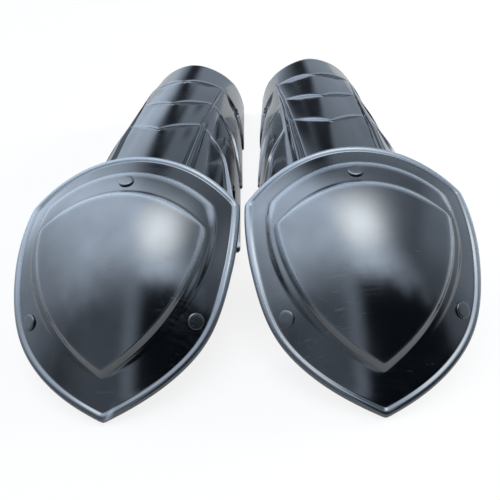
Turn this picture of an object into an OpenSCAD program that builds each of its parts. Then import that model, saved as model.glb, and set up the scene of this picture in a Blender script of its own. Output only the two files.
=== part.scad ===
// A pair of hard knee and shin guards lying on their open backs, knee ends toward -Y.
// Each guard is worked out in its own frame.
// X runs across, Y from the knee tip to the ankle, and Z up from the ground.

/* [Pair] */
// Distance from the middle of the pair to the middle of a guard
pair_half = 82.5; // [80:0.5:140]
// Angle that each guard is turned, so that the ankle ends come together
toe_angle = 1.6; // [0:0.1:4]

/* [Knee plate] */
// Half width of the knee plate at its corners
cop_corner_x = 77; // [70:0.5:84]
// Place of the corners along the guard
cop_corner_y = 137; // [130:0.5:144]
// Place of the middle of the knee plate's arched edge
cop_apex_y = 165; // [160:0.5:172]
// Radius of the long side arcs
cop_side_r = 110; // [104:0.5:120]
// Radius of the flat flanks beside the corners
cop_flank_r = 240; // [180:5:400]
// Height of the top of the dome
dome_h = 89.5; // [84:0.5:96]
// Radius of the dome across the knee
dome_side_r = 132; // [120:1:145]
// Radius of the dome along the knee
dome_len_r = 192; // [180:1:210]
// Place of the top of the dome along the guard
dome_y = 162; // [156:0.5:168]
// Wall of the knee plate
cop_wall = 2.6; // [2:0.1:4]
// Width of the raised rim
rim_w = 4.2; // [3:0.1:6]
// Height of the raised rim
rim_h = 1.8; // [1:0.1:3]
// Height of the terrace
terrace_h = 2.2; // [1:0.1:3]
// Height of the inner shield above the flange
panel_h = 4.6; // [3:0.1:6]
// Distance across the washer seat inside the knee plate
seat_d = 20; // [16:0.5:24]

/* [Shin shell] */
// Height of the keel, a third of the way down the shin
keel_h = 81.6; // [76:0.2:84]
// Half width of the shell at the ground
shell_half_w = 64.6; // [60:0.2:68]
// Half width between the long ribs
rib_corner_x = 35.5; // [30:0.5:40]
// Height of the long ribs
rib_corner_z = 69.8; // [66:0.2:73]
// Radius of the front faces beside the keel
front_r = 140; // [100:5:200]
// Radius of the side walls
side_r = 77; // [70:0.5:90]
// Narrowing of the shell for each millimetre of its length
shell_taper = 0.034; // [0.02:0.001:0.045]
// Wall of the shell
shell_wall = 2.8; // [2.6:0.1:4]
// Knee end of the shell, under the knee plate
shell_start = 119; // [117:0.5:124]
// Ankle end of the shell at the ground
shell_end = 472; // [462:1:480]
// Length of the shell's flat feet at the ankle end
foot_l = 36; // [20:1:50]
// Diameter of the tabs at the ankle end
tab_d = 11; // [9:0.5:14]
// Diameter of the eyelets in the tabs
eyelet_d = 4; // [2:0.2:5]
// Height of the shell's lower edge above the ground, at the knee end
edge_lift = 15; // [8:0.5:18]
// Step at the upper edge of each plate
lame_step = 2.2; // [1:0.1:2.6]
// How far the first plate tucks in under the knee plate
tuck = 2.2; // [1.6:0.1:2.6]

/* [Fastenings] */
// Place of the pivot rivet along the guard
pivot_y = 131.3; // [129:0.1:134]
// Distance of the side rivets from the middle
side_rivet_x = 53.3; // [50:0.1:56]
// Place of the side rivets along the guard
side_rivet_y = 48.5; // [44:0.1:54]
// Diameter of the rivet heads
head_d = 10.5; // [9:0.1:13]
// Height of the rivet heads
head_h = 2; // [1.6:0.1:3]
// Diameter of the pivot rivet's shank
pivot_d = 5; // [4:0.1:6]
// Diameter of the side rivets' shanks
side_shank_d = 4; // [3:0.1:5]
// Running clearance round the pivot shank
pivot_gap = 0.06; // [0.03:0.01:0.1]
// Thickness of the washers
washer_t = 1.2; // [0.8:0.1:2]
// Thickness of the spacer between knee plate and shell
spacer_t = 1.5; // [1:0.1:2]

/* [Straps] */
// Width of the webbing
strap_w = 20; // [16:1:22]
// Thickness of the webbing
strap_t = 1.4; // [1:0.1:1.8]
// Diameter of the bars that hold the webbing in the slots
bar_d = 1.8; // [1.6:0.1:2]
// Place of the calf strap along the guard
calf_y = 205; // [203:0.5:207]
// Height of the calf strap's slots
calf_z = 34; // [32:0.5:36]
// Place of the ankle strap along the guard
ankle_y = 376; // [374:0.5:378]
// Height of the ankle strap's slots
ankle_z = 37; // [35:0.5:39]
// Height of the straps where they cross the open back
strap_low_z = 7; // [6:0.5:9]
// Thickness of a slider
slider_t = 4.4; // [4:0.1:6]
// Length of a slider along its strap
slider_l = 16; // [14:1:20]

/* [Pads] */
// Thickness of the knee pad
knee_pad_t = 6; // [4:0.5:8]
// Thickness of the shin pad
shin_pad_t = 6; // [4:0.5:8]
// Half width of the shin pad
shin_pad_half = 27; // [20:1:30]

/* [Hidden] */
$fn = 96;
// Gaps between pieces: parts that touch at rest, parts that move, and webbing in its slots
seat_gap = 0.1;
move_gap = 0.15;
slot_gap = 0.8;
slack = 0.2;
big = 400;
dome_axis_z = dome_h - dome_side_r;
// Shield outlines: corner x, corner y, apex y, side radius, tip y
rim = [cop_corner_x, cop_corner_y, cop_apex_y, cop_side_r, 0];
terrace = [59, 124, 143.3, 93, 15.2];
panel = [55.7, 101, 119.2, 97, 18];
// Plate edges: place on the keel, at the ribs, at the bend in the side wall and at the ground
lines = [
    [shell_start, shell_start, shell_start, shell_start],
    [237, 267, 240, 110],
    [303, 328, 312, 252],
    [374, 390, 386, 353],
    [440, 448, 457, 466]];
last = len(lines) - 1;
bend_z = 46;
// The flanks are widest this far outside and before the corners
flank_x = 0.5;
flank_y = 14;
// Long ribs: place along the guard, distance from the middle, radius
ribs = [[150, 33.5, 2.8], [262, 34.4, 1.2], [328, 36.5, 1], [390, 40, 1], [448, 48, 1]];
shell_datum = 230;
// Slanting cuts at the shell's two ends
knee_cut_z = 52;
knee_cut_l = 16;
ankle_cut_z = 48;
head_edge = 1.2;
tail_d = 9;
tail_h = 1.8;
tail_edge = 0.3;
washer_d = 15;
side_washer_d = 14;
// Depths below the terrace's face at the pivot: seat, spacer, and the boss of the shell
seat_depth = 0.6;
seat_room = 0.5;
boss_h = 7;
seat_z = -cop_wall - seat_depth;
spacer_z = seat_z - move_gap - spacer_t;
boss_z = spacer_z - seat_gap;
boss_low_z = boss_z - boss_h;
bore_reach = 20;
// A side rivet holds the knee plate, the room that its curve needs, the webbing and the washer
curve_gap = 0.9;
strap_seat = cop_wall + curve_gap;
side_stack = strap_seat + strap_t + 2 * seat_gap + washer_t;
knee_strap_z = 12;
knee_strap_end = 20;
knee_strap_low_x = 26;
slider_rim = 4;
window_w = 4;
loop_gap = 0.4;
bar_over = 2;
bar_shift = 0.2;
strap_turn = 7;
strap_slope = 8;
strap_drop = 8;
pad_inset = 5;
shin_pad_start = 242;
shin_pad_end = 430;

// Centre of an arc of radius r from p to q, on the left of the way from p to q
function arc_centre(p, q, r) =
    let (d = q - p, l = norm(d), h = sqrt(r * r - l * l / 4))
    (p + q) / 2 + [-d[1], d[0]] / l * h;
function shield_centre(s) = arc_centre([0, s[4]], [s[0], s[1]], s[3]);
function apex_r(s) = (s[0] * s[0] + pow(s[2] - s[1], 2)) / (2 * (s[2] - s[1]));
// Radius of the dome's cross-section at y
function dome_r(y) = dome_side_r - dome_len_r + sqrt(pow(dome_len_r, 2) - pow(dome_y - y, 2));
function dome_z(x, y, lift) = dome_axis_z + sqrt(pow(dome_r(y) + lift, 2) - x * x);
// Tilts of the dome's surface at a point: along the guard, then across it
function dome_pitch(y) = asin((dome_y - y) / dome_len_r);
function dome_roll(x, y) = asin(x / dome_r(y));

// Cross-section of the shin shell, as [x, z]: arc centres of the front faces and the side walls
front_c = arc_centre([rib_corner_x, rib_corner_z], [0, keel_h], front_r);
side_c = arc_centre([shell_half_w, 0], [rib_corner_x, rib_corner_z], side_r);
function taper_at(y) = (shell_datum - y) * shell_taper;
// Offset of plate i's outer face from the datum section at y
function lame_offset(i, y) =
    let (y1 = lines[i][0], y2 = i == last - 1 ? shell_end : lines[i + 1][0])
    taper_at(y) + (i == 0 ? -tuck * (y2 - y) / (y2 - y1) : lame_step * (y2 - y) / (y2 - y1));
function section_z(x, d) = min(
    front_c[1] + sqrt(pow(front_r + d, 2) - pow(x - front_c[0], 2)),
    side_c[1] + sqrt(pow(side_r + d, 2) - pow(x - side_c[0], 2)));
function section_x(z, d) = side_c[0] + sqrt(pow(side_r + d, 2) - pow(z - side_c[1], 2));
function edge_z(y) = edge_lift * (shell_end - foot_l - y) / (shell_end - foot_l - shell_start);
// Offset of the shell's inner face at y
function inner_offset(y) = (y < lines[1][0] ? lame_offset(0, y) : taper_at(y)) - shell_wall;
// Distance of a bar from the middle: it runs along the guard inside the wall, across a slot at y and z
function bar_x(y, z) = section_x(z, inner_offset(y)) + shell_wall / 2 + bar_shift;
calf_bar_x = bar_x(calf_y, calf_z);
ankle_bar_x = bar_x(ankle_y, ankle_z);
// Half the length of the pair, which centres it along Y
pair_y = (shell_end * cos(toe_angle) + (shell_half_w + taper_at(shell_end)) * sin(toe_angle)) / 2;

module dome(lift) {
    translate([0, dome_y, dome_axis_z])
        rotate([-90, 0, 0])
            rotate_extrude()
                intersection() {
                    translate([dome_side_r - dome_len_r, 0])
                        circle(r = dome_len_r + lift);
                    translate([0, -big / 2])
                        square([big / 2, big]);
                }
}

module shield(s, inset) {
    intersection() {
        intersection_for (m = [0, 1])
            mirror([m, 0])
                translate(shield_centre(s))
                    circle(r = s[3] - inset);
        translate([0, s[2] - apex_r(s)])
            circle(r = apex_r(s) - inset);
    }
}

// The rim's outline also has nearly straight flanks below its corners
module rim_shield(inset) {
    intersection() {
        shield(rim, inset);
        intersection_for (m = [0, 1])
            mirror([m, 0])
                translate([cop_corner_x + flank_x - cop_flank_r, cop_corner_y - flank_y])
                    circle(r = cop_flank_r - inset);
    }
}

module under_dome(lift) {
    intersection() {
        dome(lift);
        linear_extrude(big / 2)
            children();
    }
}

// Moves its children to the frame of a point on the dome, with +Z out of the surface
module on_dome(x, y, lift) {
    translate([x, y, dome_z(x, y, lift)])
        rotate([0, dome_roll(x, y), 0])
            rotate([dome_pitch(y), 0, 0])
                children();
}

module pivot_frame() {
    on_dome(0, pivot_y, terrace_h)
        children();
}

// Rivet head with a low crown on an upright edge
module button_head(d, h, edge) {
    crown = h - edge;
    r = (d * d / 4 + crown * crown) / (2 * crown);
    intersection() {
        translate([0, 0, h - r])
            sphere(r = r);
        cylinder(h = h, r = d / 2);
    }
}

module disc(d, bore, z, h) {
    translate([0, 0, z])
        difference() {
            cylinder(h = h, r = d / 2);
            translate([0, 0, -1])
                cylinder(h = h + 2, r = bore / 2);
        }
}

module knee_cop() {
    color("black")
        difference() {
            union() {
                under_dome(0)
                    rim_shield(0);
                under_dome(rim_h)
                    difference() {
                        rim_shield(0);
                        rim_shield(rim_w);
                    }
                under_dome(terrace_h)
                    shield(terrace, 0);
                under_dome(panel_h)
                    shield(panel, 0);
            }
            difference() {
                union() {
                    dome(-cop_wall);
                    under_dome(terrace_h - cop_wall)
                        shield(terrace, cop_wall);
                    under_dome(panel_h - cop_wall)
                        shield(panel, cop_wall);
                }
                pivot_frame()
                    translate([0, 0, seat_z])
                        cylinder(h = cop_wall, r = seat_d / 2 + seat_room);
            }
            pivot_frame()
                translate([0, 0, seat_z - bore_reach])
                    cylinder(h = bore_reach, r = seat_d / 2 + seat_room);
            pivot_frame()
                translate([0, 0, -bore_reach])
                    cylinder(h = 2 * bore_reach, r = pivot_d / 2 + pivot_gap);
            for (side = [-1, 1])
                on_dome(side * side_rivet_x, side_rivet_y, 0)
                    translate([0, 0, -bore_reach])
                        cylinder(h = 2 * bore_reach, r = side_shank_d / 2 + seat_gap);
        }
}

module pivot_rivet() {
    color("dimgray")
        pivot_frame() {
            translate([0, 0, move_gap])
                button_head(head_d, head_h, head_edge);
            translate([0, 0, boss_low_z - washer_t - tail_h])
                cylinder(h = move_gap + tail_h + washer_t - boss_low_z, r = pivot_d / 2);
            translate([0, 0, boss_low_z - washer_t - 2 * seat_gap])
                mirror([0, 0, 1])
                    button_head(tail_d, tail_h, tail_edge);
        }
}

module pivot_spacer() {
    color("whitesmoke")
        pivot_frame()
            disc(seat_d - 1, pivot_d + 2 * seat_gap, spacer_z, spacer_t);
}

module pivot_washer() {
    color("silver")
        pivot_frame()
            disc(washer_d, pivot_d + 2 * seat_gap, boss_low_z - seat_gap - washer_t, washer_t);
}

module side_rivets() {
    color("dimgray")
        for (side = [-1, 1])
            on_dome(side * side_rivet_x, side_rivet_y, 0) {
                translate([0, 0, seat_gap])
                    button_head(head_d, head_h, head_edge);
                translate([0, 0, -side_stack - tail_h])
                    cylinder(h = side_stack + tail_h + seat_gap, r = side_shank_d / 2);
                translate([0, 0, -side_stack - seat_gap])
                    mirror([0, 0, 1])
                        button_head(tail_d, tail_h, tail_edge);
            }
}

module side_washers() {
    color("silver")
        for (side = [-1, 1])
            on_dome(side * side_rivet_x, side_rivet_y, 0)
                disc(side_washer_d, side_shank_d + 2 * seat_gap, -side_stack, washer_t);
}

module knee_strap() {
    patch = [knee_strap_end, strap_w, strap_t];
    color("dimgray")
        difference() {
            union() {
                for (side = [-1, 1]) {
                    on_dome(side * side_rivet_x, side_rivet_y, 0)
                        translate([0, 0, -strap_seat - strap_t / 2])
                            cube(patch, center = true);
                    hull() {
                        on_dome(side * side_rivet_x, side_rivet_y, 0)
                            translate([-side * (knee_strap_end / 2 - 1), 0, -strap_seat - strap_t / 2])
                                cube([1, strap_w - slack, strap_t - slack], center = true);
                        translate([side * (knee_strap_low_x - 1), side_rivet_y, knee_strap_z])
                            cube([1, strap_w - slack, strap_t - slack], center = true);
                    }
                }
                translate([0, side_rivet_y, knee_strap_z])
                    cube([2 * knee_strap_low_x, strap_w, strap_t], center = true);
            }
            for (side = [-1, 1])
                on_dome(side * side_rivet_x, side_rivet_y, 0)
                    translate([0, 0, -bore_reach])
                        cylinder(h = 2 * bore_reach, r = side_shank_d / 2 + seat_gap);
        }
}

// A slider on a strap that runs along X, in the middle of its piece
module slider(y, z) {
    inner_w = strap_w + slot_gap;
    translate([0, y, z])
        difference() {
            cube([slider_l, strap_w + 2 * slider_rim, slider_t], center = true);
            cube([2 * slider_l, inner_w, strap_t + slot_gap], center = true);
            for (side = [-1, 1])
                translate([side * slider_l / 4, 0, slider_t / 2])
                    cube([window_w, inner_w, slider_t], center = true);
        }
}

// Everything on the knee side of plate edge i
module before_line(i) {
    rx = rib_corner_x;
    rz = rib_corner_z;
    k = lines[i][0];
    r = lines[i][1];
    b = lines[i][2];
    f = lines[i][3];
    out_y = r + (r - k) / rx * (big / 2 - rx);
    top_y = r + (r - b) / (rz - bend_z) * (big - rz);
    intersection() {
        translate([0, 0, -big / 4])
            linear_extrude(big)
                polygon([
                    [-big / 2, -big],
                    [-big / 2, out_y],
                    [-rx, r],
                    [0, k],
                    [rx, r],
                    [big / 2, out_y],
                    [big / 2, -big]]);
        rotate([90, 0, 90])
            translate([0, 0, -big / 2])
                linear_extrude(big)
                    polygon([[-big, -1], [f, -1], [f, 0], [b, bend_z], [r, rz], [top_y, big], [-big, big]]);
    }
}

// Solid inside the section at offset d1 at y1 and d2 at y2
module section_solid(y1, d1, y2, d2) {
    intersection_for (m = [0, 1])
        mirror([m, 0, 0])
            intersection() {
                translate([front_c[0], y1, front_c[1]])
                    rotate([-90, 0, 0])
                        cylinder(h = y2 - y1, r1 = front_r + d1, r2 = front_r + d2);
                translate([side_c[0], y1, side_c[1]])
                    rotate([-90, 0, 0])
                        cylinder(h = y2 - y1, r1 = side_r + d1, r2 = side_r + d2);
            }
}

module lame(i) {
    y1 = min(lines[i]) - (i == 0 ? 0 : 1);
    y2 = max(lines[i + 1]) + (i == last - 1 ? 10 : 1);
    difference() {
        section_solid(y1, lame_offset(i, y1), y2, lame_offset(i, y2));
        if (i > 0)
            before_line(i);
    }
}

function rib_point(i, y, x) = [x, y, section_z(x, lame_offset(i, y))];

module long_rib() {
    for (i = [0:last - 1]) {
        p = rib_point(i, ribs[i][0], ribs[i][1]);
        q = rib_point(i, ribs[i + 1][0], ribs[i + 1][1]);
        d = q - p;
        translate(p)
            rotate([-90, 0, 0])
                rotate([atan2(d[2], d[1]), 0, 0])
                    rotate([0, atan2(d[0], norm([d[1], d[2]])), 0])
                        cylinder(h = norm(d), r1 = ribs[i][2], r2 = ribs[i + 1][2]);
    }
}

// Side view of the shell, drawn as [y, z]
module shell_side_view() {
    difference() {
        union() {
            polygon([
                [shell_start, keel_h + 20],
                [shell_start, knee_cut_z],
                [shell_start + knee_cut_l, edge_z(shell_start + knee_cut_l)],
                [shell_end - foot_l, 0],
                [shell_end - tab_d / 2, 0],
                [shell_end - tab_d, tab_d],
                [lines[last][1], ankle_cut_z],
                [lines[last][0], keel_h + 20]]);
            translate([shell_end - tab_d / 2, tab_d / 2])
                circle(r = tab_d / 2);
        }
        translate([shell_end - tab_d / 2, tab_d / 2])
            circle(r = eyelet_d / 2);
    }
}

// Slots in both side walls, with the holes for their bars
module strap_slot(y, z, bar) {
    h = bar_d + 2 * strap_t + 2 * loop_gap;
    w = strap_w + 2 * slot_gap;
    translate([0, y, z])
        cube([big, w, h], center = true);
    for (side = [-1, 1])
        translate([side * bar, y - w / 2 - bar_over - seat_gap, z])
            rotate([-90, 0, 0])
                cylinder(h = w + 2 * bar_over + 2 * seat_gap, r = bar_d / 2 + seat_gap);
}

module greave() {
    y1 = shell_start - 1;
    y2 = lines[1][0];
    y3 = shell_end + 10;
    color("black")
        difference() {
            intersection() {
                union() {
                    difference() {
                        union() {
                            for (i = [0:last - 1])
                                lame(i);
                            for (m = [0, 1])
                                mirror([m, 0, 0])
                                    long_rib();
                        }
                        section_solid(y1, inner_offset(y1), y2, inner_offset(y2));
                        section_solid(y2, inner_offset(y2), y3, inner_offset(y3));
                    }
                    pivot_frame()
                        translate([0, 0, boss_low_z])
                            cylinder(h = boss_h, r = seat_d / 2);
                }
                rotate([90, 0, 90])
                    translate([0, 0, -big / 2])
                        linear_extrude(big)
                            shell_side_view();
            }
            strap_slot(calf_y, calf_z, calf_bar_x);
            strap_slot(ankle_y, ankle_z, ankle_bar_x);
            pivot_frame() {
                translate([0, 0, -bore_reach])
                    cylinder(h = 2 * bore_reach, r = pivot_d / 2 + seat_gap);
                translate([0, 0, boss_z])
                    cylinder(h = bore_reach, r = seat_d / 2 + seat_room);
            }
        }
}

// Band along a list of [x, z] points
module band(points) {
    for (i = [0:len(points) - 2]) {
        d = points[i + 1] - points[i];
        translate(points[i])
            rotate(atan2(d[1], d[0]))
                translate([0, -strap_t / 2])
                    square([norm(d), strap_t]);
    }
    for (p = points)
        translate(p)
            circle(r = strap_t / 2, $fn = 24);
}

module shell_strap(y, z, bar) {
    loop_r = bar_d / 2 + seat_gap + strap_t;
    turn_x = bar - loop_r - strap_turn;
    translate([0, y + strap_w / 2, 0])
        rotate([90, 0, 0])
            linear_extrude(strap_w)
                for (m = [0, 1])
                    mirror([m, 0])
                        difference() {
                            union() {
                                band([
                                    [0, strap_low_z],
                                    [turn_x - strap_slope, strap_low_z],
                                    [turn_x, z - strap_drop],
                                    [turn_x + strap_drop / 2, z],
                                    [bar - bar_d / 2 - seat_gap, z]]);
                                translate([bar, z])
                                    circle(r = loop_r);
                            }
                            translate([bar, z])
                                circle(r = loop_r - strap_t);
                        }
}

module anchor_bars(y, z, bar) {
    for (side = [-1, 1])
        translate([side * bar, y - strap_w / 2 - slot_gap - bar_over, z])
            rotate([-90, 0, 0])
                cylinder(h = strap_w + 2 * slot_gap + 2 * bar_over, r = bar_d / 2);
}

module calf_strap() {
    color("dimgray")
        shell_strap(calf_y, calf_z, calf_bar_x);
}

module calf_bars() {
    color("gray")
        anchor_bars(calf_y, calf_z, calf_bar_x);
}

module ankle_strap() {
    color("dimgray")
        shell_strap(ankle_y, ankle_z, ankle_bar_x);
}

module ankle_bars() {
    color("gray")
        anchor_bars(ankle_y, ankle_z, ankle_bar_x);
}

module calf_slider() {
    color("gray")
        slider(calf_y, strap_low_z);
}

module ankle_slider() {
    color("gray")
        slider(ankle_y, strap_low_z);
}

module knee_slider() {
    color("gray")
        slider(side_rivet_y, knee_strap_z);
}

module knee_pad() {
    lift = panel_h - cop_wall - 2 * seat_gap;
    color("slategray")
        difference() {
            under_dome(lift)
                shield(panel, cop_wall + pad_inset);
            dome(lift - knee_pad_t);
        }
}

module shin_pad() {
    y1 = shin_pad_start;
    y2 = shin_pad_end;
    off = -shell_wall - 2 * seat_gap;
    color("slategray")
        intersection() {
            difference() {
                section_solid(y1, taper_at(y1) + off, y2, taper_at(y2) + off);
                section_solid(
                    y1 - 1, taper_at(y1 - 1) + off - shin_pad_t,
                    y2 + 1, taper_at(y2 + 1) + off - shin_pad_t);
            }
            translate([-shin_pad_half, y1 - 1, keel_h / 2])
                cube([2 * shin_pad_half, y2 - y1 + 2, keel_h]);
        }
}

// Places a guard: side is -1 for the left one and 1 for the right one, which is its mirror image
module place(side) {
    translate([side * pair_half, -pair_y, 0])
        rotate([0, 0, side * toe_angle])
            mirror([side < 0 ? 1 : 0, 0, 0])
                children();
}

place(-1) greave();  // left_greave
place(-1) knee_cop();  // left_knee_cop
place(-1) pivot_rivet();  // left_pivot_rivet
place(-1) pivot_spacer();  // left_pivot_spacer
place(-1) pivot_washer();  // left_pivot_washer
place(-1) side_rivets();  // left_side_rivets
place(-1) side_washers();  // left_side_washers
place(-1) knee_strap();  // left_knee_strap
place(-1) knee_slider();  // left_knee_slider
place(-1) calf_strap();  // left_calf_strap
place(-1) calf_bars();  // left_calf_bars
place(-1) calf_slider();  // left_calf_slider
place(-1) ankle_strap();  // left_ankle_strap
place(-1) ankle_bars();  // left_ankle_bars
place(-1) ankle_slider();  // left_ankle_slider
place(-1) knee_pad();  // left_knee_pad
place(-1) shin_pad();  // left_shin_pad
place(1) greave();  // right_greave
place(1) knee_cop();  // right_knee_cop
place(1) pivot_rivet();  // right_pivot_rivet
place(1) pivot_spacer();  // right_pivot_spacer
place(1) pivot_washer();  // right_pivot_washer
place(1) side_rivets();  // right_side_rivets
place(1) side_washers();  // right_side_washers
place(1) knee_strap();  // right_knee_strap
place(1) knee_slider();  // right_knee_slider
place(1) calf_strap();  // right_calf_strap
place(1) calf_bars();  // right_calf_bars
place(1) calf_slider();  // right_calf_slider
place(1) ankle_strap();  // right_ankle_strap
place(1) ankle_bars();  // right_ankle_bars
place(1) ankle_slider();  // right_ankle_slider
place(1) knee_pad();  // right_knee_pad
place(1) shin_pad();  // right_shin_pad
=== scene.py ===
import math
import bmesh
import bpy
import numpy as np
from mathutils import Matrix, Vector


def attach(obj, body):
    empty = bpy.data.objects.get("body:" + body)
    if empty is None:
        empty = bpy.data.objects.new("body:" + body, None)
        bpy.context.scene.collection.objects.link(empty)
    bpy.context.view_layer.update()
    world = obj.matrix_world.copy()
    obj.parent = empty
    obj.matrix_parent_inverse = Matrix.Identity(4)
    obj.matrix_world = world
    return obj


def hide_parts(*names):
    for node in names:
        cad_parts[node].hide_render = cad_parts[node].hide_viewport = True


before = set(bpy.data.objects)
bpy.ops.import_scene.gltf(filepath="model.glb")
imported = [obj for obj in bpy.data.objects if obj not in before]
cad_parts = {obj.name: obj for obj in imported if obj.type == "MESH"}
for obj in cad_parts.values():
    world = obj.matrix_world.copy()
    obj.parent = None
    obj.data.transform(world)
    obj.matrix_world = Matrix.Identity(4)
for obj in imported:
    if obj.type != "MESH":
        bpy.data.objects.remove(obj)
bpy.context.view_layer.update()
print("frame loaded")

# Shapes are worked out in a guard's own frame, in millimetres: x outward, y from the knee tip to the ankle, z up
pair = {"half": 82.5, "toe": 1.6, "back": 236.695}
guards = {"left": -1, "right": 1}


def placed(points, side):
    p = np.asarray(points, float)
    turn = math.radians(side * pair["toe"])
    x, y = side * p[..., 0], p[..., 1]
    return np.stack([x * math.cos(turn) - y * math.sin(turn) + side * pair["half"],
                     x * math.sin(turn) + y * math.cos(turn) - pair["back"], p[..., 2]], -1) / 1000


def smoothStep(t):
    t = np.clip(t, 0, 1)
    return t * t * (3 - 2 * t)


def shoulder(t):    # a step with two rounded halves
    t = np.clip(t, 0, 1)
    return np.where(t < 0.5, 2 * t * t, 1 - 2 * (1 - t) ** 2)


def distances(path):    # how far each point of a path is from its start
    return np.concatenate([[0], np.cumsum(np.linalg.norm(np.diff(path, axis=0), axis=1))])


def smoothed(mesh, angle=None):    # smooth shading, with edges sharper than the angle kept crisp
    mesh.polygons.foreach_set("use_smooth", [True] * len(mesh.polygons))
    if angle:
        mesh.set_sharp_from_angle(angle=math.radians(angle))


def added(name, data):    # a new object in the scene
    made = bpy.data.objects.new(name, data)
    bpy.context.scene.collection.objects.link(made)
    return made


def makeMesh(name, points, faces, side, edge=None, uv=None):
    mesh = bpy.data.meshes.new(name)
    if side < 0:
        faces = [f[::-1] for f in faces]
    mesh.from_pydata(placed(points, side).tolist(), [], [tuple(int(i) for i in f) for f in faces])
    mesh.update()
    if edge is not None:
        layer = mesh.attributes.new("edge", "FLOAT", "POINT")
        layer.data.foreach_set("value", np.asarray(edge, np.float32))
    if uv is not None:
        layer = mesh.uv_layers.new(name="UVMap")
        corners = [loop.vertex_index for loop in mesh.loops]
        layer.data.foreach_set("uv", np.asarray(uv, np.float32)[corners].ravel())
    smoothed(mesh)
    form = bmesh.new()
    form.from_mesh(mesh)
    if form.calc_volume(signed=True) < 0:
        mesh.flip_normals()
    form.free()
    return added(name, mesh)


def gridFaces(rows, columns, start=0, around=False, flip=False):
    faces = []
    for i in range(rows - 1):
        a, b = start + i * columns, start + (i + 1) * columns
        for j in range(columns if around else columns - 1):
            k = (j + 1) % columns
            f = (a + j, a + k, b + k, b + j)
            faces.append(f[::-1] if flip else f)
    return faces


def ringMesh(name, rings, middles, side, edge=None):    # a closed skin over rings, with a point at each end
    rows, columns = len(rings), len(rings[0])
    faces = gridFaces(rows, columns, around=True, flip=True)
    for j in range(columns):
        k = (j + 1) % columns
        faces.append((rows * columns, j, k))
        faces.append((rows * columns + 1, (rows - 1) * columns + k, (rows - 1) * columns + j))
    return makeMesh(name, np.concatenate(rings + middles), faces, side, edge=edge)


def dressed(piece, body, slotName, material, *nodes):
    piece.data.materials.clear()
    piece.data.materials.append(material)
    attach(piece, body)
    if nodes:
        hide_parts(*nodes)


def applied(piece):    # turns the modifiers' result into the piece's own plain mesh
    flat = bpy.data.meshes.new_from_object(piece.evaluated_get(bpy.context.evaluated_depsgraph_get()))
    piece.modifiers.clear()
    old, piece.data = piece.data, flat
    flat.name = piece.name
    bpy.data.meshes.remove(old)


# where the photograph was taken from
camera = {"place": (0.0230, -0.4023, 0.2524), "pitch": 0.6515, "roll": -0.0767, "yaw": -0.0663,
          "focalPixels": 490, "imagePixels": 500, "sensor": 36}


def addCamera():
    c, s = math.cos, math.sin
    pitch, roll, yaw = camera["pitch"], camera["roll"], camera["yaw"]
    ahead = Vector((s(yaw) * c(pitch), c(yaw) * c(pitch), -s(pitch)))
    right = Vector((c(yaw), -s(yaw), 0))
    up = right.cross(ahead)
    right, up = c(roll) * right + s(roll) * up, c(roll) * up - s(roll) * right
    data = bpy.data.cameras.new("camera")
    data.sensor_width = camera["sensor"]
    data.lens = camera["focalPixels"] / camera["imagePixels"] * camera["sensor"]
    data.clip_start = 0.01
    made = added("camera", data)
    made.matrix_world = Matrix((right, up, -ahead)).transposed().to_4x4()
    made.location = camera["place"]
    bpy.context.scene.camera = made


def operator(operation, swapped=False):
    def apply(self, other):
        return self.shader.maths(operation, *((other, self) if swapped else (self, other)))
    return apply


class Value:    # a shader socket that can stand in sums
    def __init__(self, shader, socket):
        self.shader, self.socket = shader, socket

    def other(self, out):
        return Value(self.shader, self.socket.node.outputs[out])

    __add__, __radd__ = operator("ADD"), operator("ADD", swapped=True)
    __sub__, __rsub__ = operator("SUBTRACT"), operator("SUBTRACT", swapped=True)
    __mul__, __truediv__, __pow__ = operator("MULTIPLY"), operator("DIVIDE"), operator("POWER")
    __gt__, __lt__ = operator("GREATER_THAN"), operator("LESS_THAN")


class Nodes:    # builds nodes in one tree
    def node(self, kind, inputs=None, settings=None, out=0):
        made = self.tree.nodes.new(kind)
        for key, value in (settings or {}).items():
            setattr(made, key, value)
        for key, value in (inputs or {}).items():
            if isinstance(value, Value):
                self.tree.links.new(value.socket, made.inputs[key])
            else:
                made.inputs[key].default_value = value
        return Value(self, made.outputs[out])

    def maths(self, operation, *values):
        return self.node("ShaderNodeMath", dict(enumerate(values)), {"operation": operation})


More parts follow.
